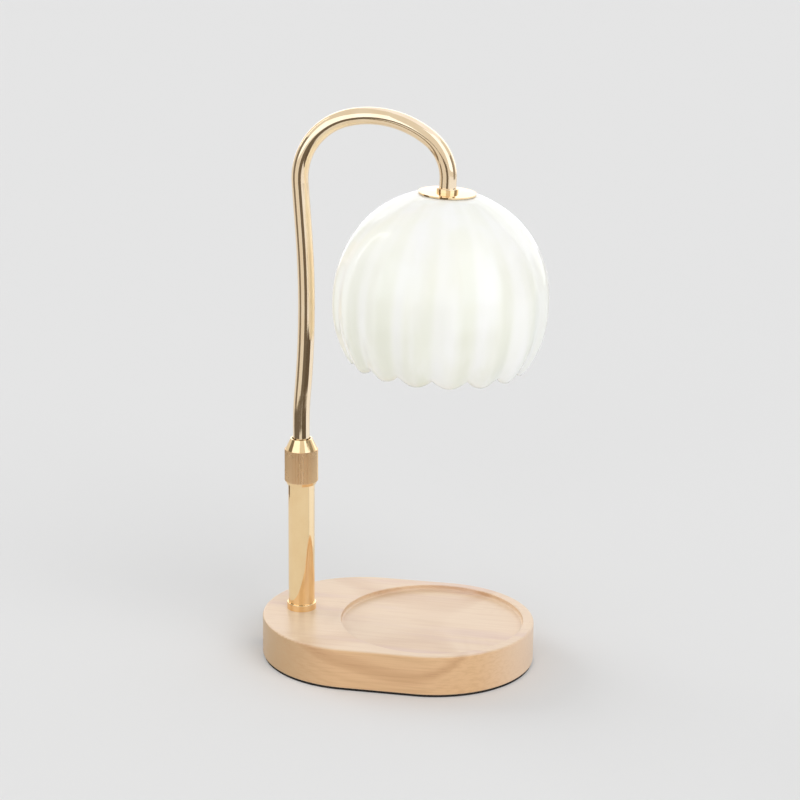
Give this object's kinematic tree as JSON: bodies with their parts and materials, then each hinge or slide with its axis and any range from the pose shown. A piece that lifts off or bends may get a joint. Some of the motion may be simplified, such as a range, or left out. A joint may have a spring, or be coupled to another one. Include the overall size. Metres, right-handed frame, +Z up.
{
  "type": "candle warmer lamp",
  "caption": "Table lamp that melts candle wax from above: wooden base with a sunken round tray, post, knurled lock collar, telescoping bent neck, lobed glass shade and reflector bulb.",
  "frame": {"origin": "centre of the base's footprint, on the surface that the lamp stands on", "axes": "+Z up; +X along the base from the post to the candle tray; the bent neck lies in the XZ plane"},
  "size_m": [0.1695, 0.127, 0.3346],
  "materials": {
    "wood": "clear matt lacquer over pale straight-grained wood",
    "polished_gold": "polished, champagne gold",
    "knurled_gold": "satin, champagne gold, straight knurl",
    "steel": "zinc plated",
    "pad_foam": "matt black foam rubber",
    "black_rubber": "matt",
    "silicone": "translucent white",
    "nylon": "natural",
    "lead_insulation": "woven sleeve, off-white",
    "milk_glass": "milky pressed glass, glossy",
    "ceramic": "unglazed white ceramic",
    "contact_bronze": "bright bronze",
    "clear_glass": "clear",
    "mirror_glass": "glass with a dichroic mirror coat inside"
  },
  "bodies": {
    "stand": {"wood_base": "wood", "base_pad": "pad_foam", "ballast_plate": "steel", "ballast_screws": "steel", "cable_gland": "black_rubber", "base_leads": "lead_insulation", "post_foot_ring": "polished_gold", "post_tube": "polished_gold", "post_end_bush": "steel", "post_stud": "steel", "post_washer": "steel", "post_lock_washer": "steel", "post_nut": "steel", "clamp_bush": "knurled_gold", "clamp_collet": "nylon", "slack_leads": "lead_insulation"},
    "lock_collar": {"lock_collar": "knurled_gold"},
    "guide": {"guide_sleeve": "nylon"},
    "neck": {"neck_tube": "polished_gold", "neck_end_ring": "polished_gold", "neck_stop_clip": "steel", "neck_leads": "lead_insulation", "neck_ferrule": "polished_gold", "shade_cap": "polished_gold", "cap_gasket": "silicone", "glass_shade": "milk_glass", "under_gasket": "silicone", "shade_washer": "steel", "shade_nut": "steel", "holder_bracket": "steel", "bracket_nut": "steel", "lampholder": "ceramic", "holder_plate": "ceramic", "holder_contacts": "contact_bronze", "holder_screws": "steel"},
    "bulb": {"bulb_base": "ceramic", "bulb_pins": "steel", "bulb_reflector": "mirror_glass", "bulb_capsule": "clear_glass", "bulb_lens": "clear_glass"}
  },
  "joints": [
    {"name": "neck_slide", "type": "slide", "parent": "stand", "child": "guide", "axis": [0, 0, 1], "range_m": [-0.0092, 0.0285], "deforming": ["slack_leads"]},
    {"name": "neck_swivel", "type": "hinge", "parent": "guide", "child": "neck", "pos_m": [-0.06, 0, 0.08], "axis": [0, 0, 1], "range_deg": [-170, 170]},
    {"name": "collar_twist", "type": "hinge", "parent": "stand", "child": "lock_collar", "pos_m": [-0.06, 0, 0.12], "axis": [0, 0, 1], "range_deg": [0, 270]},
    {"name": "bulb_twist", "type": "hinge", "parent": "neck", "child": "bulb", "pos_m": [0.02632, 0, 0.28794], "axis": [0.0436, 0, 0.999], "range_deg": [0, 27]}
  ]
}
